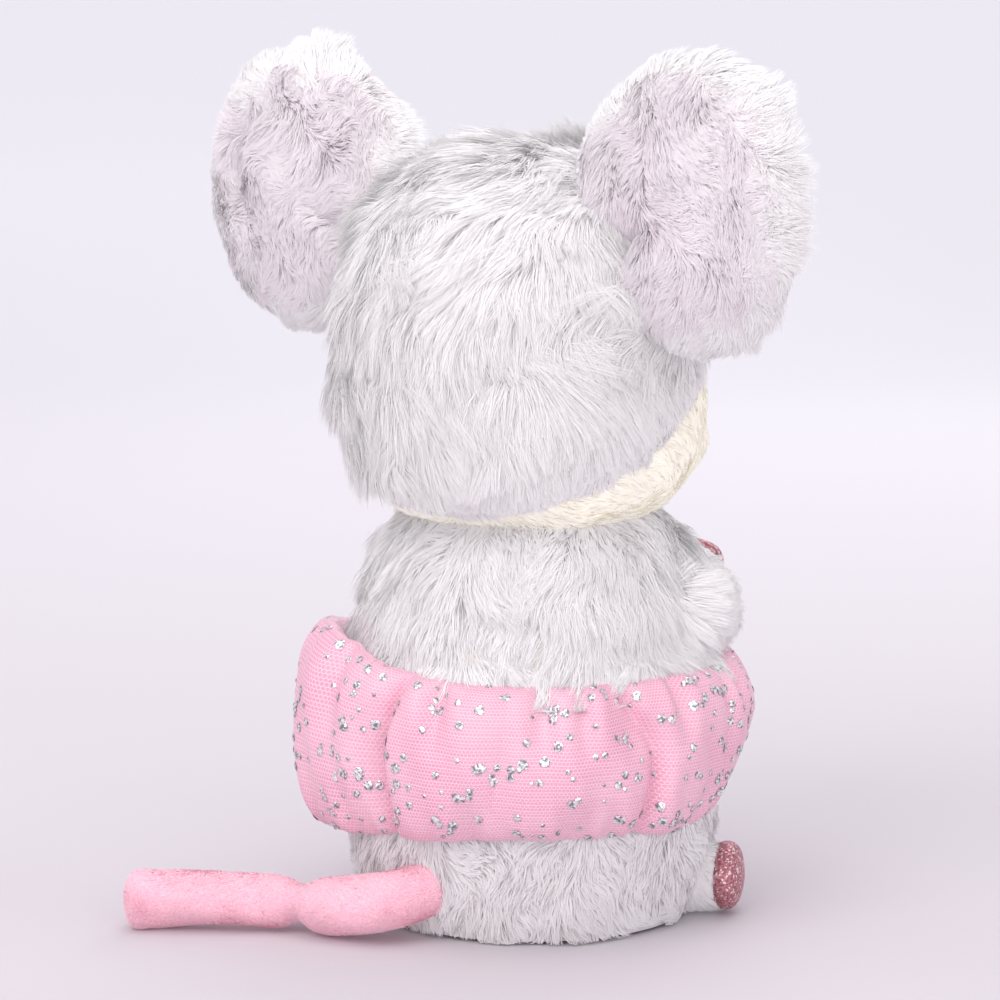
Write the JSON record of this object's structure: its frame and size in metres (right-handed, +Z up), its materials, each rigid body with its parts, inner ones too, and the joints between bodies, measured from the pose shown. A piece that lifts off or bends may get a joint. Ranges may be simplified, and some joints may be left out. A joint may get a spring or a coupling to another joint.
{
  "type": "clockwork plush mouse",
  "caption": "Long-haired plush mouse in a gathered pink net skirt, standing on a hard round base, with a key-wound movement inside that turns the head from side to side.",
  "frame": {"origin": "on the floor, on the flat underside of the base plate, directly below the neck shaft the head turns on", "axes": "+Z up along the neck shaft; -Y the way the mouse faces; +X to the mouse's left"},
  "size_m": [0.172, 0.142, 0.207],
  "materials": {
    "white_plush": "long soft acrylic pile, unglazed",
    "short_plush": "short pinkish-white pile",
    "cream_plush": "smooth cream short-pile plush",
    "pink_satin": "satin with a soft sheen",
    "pink_tulle": "sheer hexagonal net with silver foil dots",
    "pink_velour": "velour with a brushed nap",
    "glitter_fabric": "coated fabric set with fine rose glitter",
    "stuffing": "polyester fibre filling",
    "padding": "open-cell foam padding",
    "black_bead": "polished black",
    "nose_pink": "moulded pink",
    "clear_washer": "natural moulded",
    "base_plastic": "fine moulded texture",
    "housing_plastic": "moulded",
    "former_plastic": "moulded",
    "steel": "turned and ground",
    "screw_steel": "nickel plated",
    "spring_steel": "blued strip",
    "brass": "stamped and cut, slightly matt"
  },
  "bodies": {
    "base": {"base_plate": "base_plastic", "base_screws": "screw_steel", "housing_front": "housing_plastic", "housing_back": "housing_plastic", "seam_screws": "screw_steel", "frame_plate_low": "brass", "frame_plate_high": "brass", "frame_pillars": "brass", "frame_screws": "screw_steel", "movement_screws": "screw_steel", "click_stud": "steel", "neck_bush": "brass", "torso_cover": "white_plush", "lower_cover": "white_plush", "body_padding": "padding", "skirt_satin": "pink_satin", "skirt_tulle": "pink_tulle", "left_foot": "white_plush", "right_foot": "white_plush", "left_sole": "glitter_fabric", "right_sole": "glitter_fabric"},
    "head": {"neck_shaft": "steel", "head_lever": "steel", "head_former": "former_plastic", "head_stuffing": "stuffing", "head_cover": "white_plush", "face_panel": "cream_plush", "left_ear": "short_plush", "right_ear": "short_plush", "left_ear_lining": "pink_satin", "right_ear_lining": "pink_satin", "eyes": "black_bead", "eye_washers": "clear_washer", "nose": "nose_pink"},
    "winder": {"winding_key": "steel", "winding_arbor": "steel", "ratchet_wheel": "steel"},
    "click_arm": {"click": "steel", "click_spring": "spring_steel"},
    "barrel": {"spring_barrel": "brass", "barrel_cover": "brass", "mainspring": "spring_steel"},
    "second": {"second_arbor": "steel", "second_wheel": "brass", "crank": "steel"},
    "third": {"third_arbor": "steel", "third_wheel": "brass"},
    "fly": {"fly_arbor": "steel", "fly_vane": "brass"},
    "tail_body": {"tail": "pink_velour"},
    "left_arm_body": {"left_arm": "white_plush", "left_paw": "glitter_fabric"},
    "right_arm_body": {"right_arm": "white_plush", "right_paw": "glitter_fabric"}
  },
  "joints": [
    {"name": "head_turn", "type": "hinge", "parent": "base", "child": "head", "pos_m": [0, 0, 0.09], "axis": [0, 0, 1], "range_deg": [-25, 25]},
    {"name": "key_turn", "type": "hinge", "parent": "base", "child": "winder", "pos_m": [0, -0.016, 0.009], "axis": [0, 0, 1], "continuous": true},
    {"name": "click_lift", "type": "hinge", "parent": "base", "child": "click_arm", "pos_m": [-0.0095, -0.0075, 0.0413], "axis": [0, 0, -1], "range_deg": [0, 12]},
    {"name": "barrel_turn", "type": "hinge", "parent": "base", "child": "barrel", "pos_m": [0, -0.016, 0.028], "axis": [0, 0, 1], "continuous": true},
    {"name": "second_turn", "type": "hinge", "parent": "base", "child": "second", "pos_m": [0.01379, -0.00443, 0.028], "axis": [0, 0, 1], "continuous": true},
    {"name": "third_turn", "type": "hinge", "parent": "base", "child": "third", "pos_m": [0.01144, 0.00887, 0.028], "axis": [0, 0, 1], "continuous": true},
    {"name": "fly_turn", "type": "hinge", "parent": "base", "child": "fly", "pos_m": [-0.00051, 0.00991, 0.028], "axis": [0, 0, 1], "continuous": true},
    {"name": "tail_swing", "type": "hinge", "parent": "base", "child": "tail_body", "pos_m": [0.001, 0.046, 0.01], "axis": [0, 0, 1], "range_deg": [-30, 30]},
    {"name": "left_arm_open", "type": "hinge", "parent": "base", "child": "left_arm_body", "pos_m": [0.035, -0.004, 0.075], "axis": [0, 0, 1], "range_deg": [0, 25]},
    {"name": "right_arm_open", "type": "hinge", "parent": "base", "child": "right_arm_body", "pos_m": [-0.035, -0.004, 0.075], "axis": [0, 0, -1], "range_deg": [0, 25]}
  ],
  "couplings": [
    {"joint": "second_turn", "follows": "barrel_turn", "ratio": -4},
    {"joint": "third_turn", "follows": "barrel_turn", "ratio": 16},
    {"joint": "fly_turn", "follows": "barrel_turn", "ratio": -64}
  ]
}
